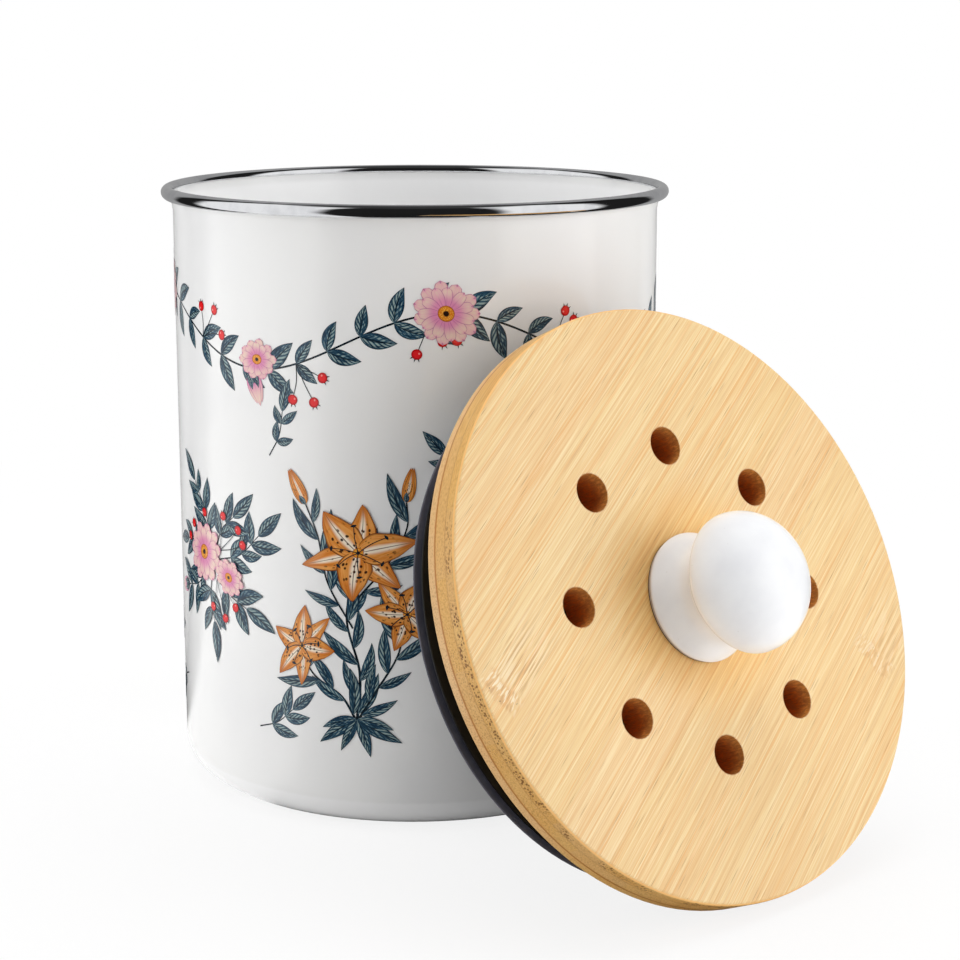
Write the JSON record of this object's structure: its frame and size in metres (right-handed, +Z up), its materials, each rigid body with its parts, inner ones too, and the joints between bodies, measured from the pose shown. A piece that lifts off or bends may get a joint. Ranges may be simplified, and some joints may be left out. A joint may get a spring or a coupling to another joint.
{
  "type": "compost caddy",
  "caption": "Countertop compost caddy: enamelled steel canister with a rolled steel rim, and a vented bamboo lift-off lid with knob, lip seal and charcoal filter.",
  "frame": {"origin": "centre of the canister's foot, on the surface that it stands on", "axes": "+Z up along the canister's axis; -Y is the front, and the lid leans at the front right, toward +X"},
  "size_m": [0.2368, 0.2606, 0.196],
  "materials": {
    "enamel": "gloss",
    "rim_steel": "polished",
    "bamboo": "satin",
    "glaze": "gloss",
    "gasket": "matte",
    "brass": "satin",
    "screw_steel": "satin",
    "black_plastic": "satin",
    "seal": "matte",
    "charcoal": "matte"
  },
  "bodies": {
    "canister": {"canister_shell": "enamel", "rim_band": "rim_steel"},
    "lid": {"lid_board": "bamboo", "knob": "glaze", "knob_gasket": "gasket", "knob_insert": "brass", "knob_screw": "screw_steel", "screw_washer": "screw_steel", "filter_housing": "black_plastic", "housing_screws": "screw_steel", "lid_seal": "seal", "charcoal_filter": "charcoal"},
    "cover": {"filter_cover": "black_plastic"}
  },
  "joints": [
    {"name": "lid_lift", "type": "slide", "parent": "canister", "child": "lid", "axis": [0.3346, -0.3716, 0.866], "range_m": [0, 0.25]},
    {"name": "cover_twist", "type": "hinge", "parent": "lid", "child": "cover", "pos_m": [0.0768, -0.10485, 0.08021], "axis": [0.6094, -0.6768, 0.4131], "range_deg": [-40, 0]}
  ]
}
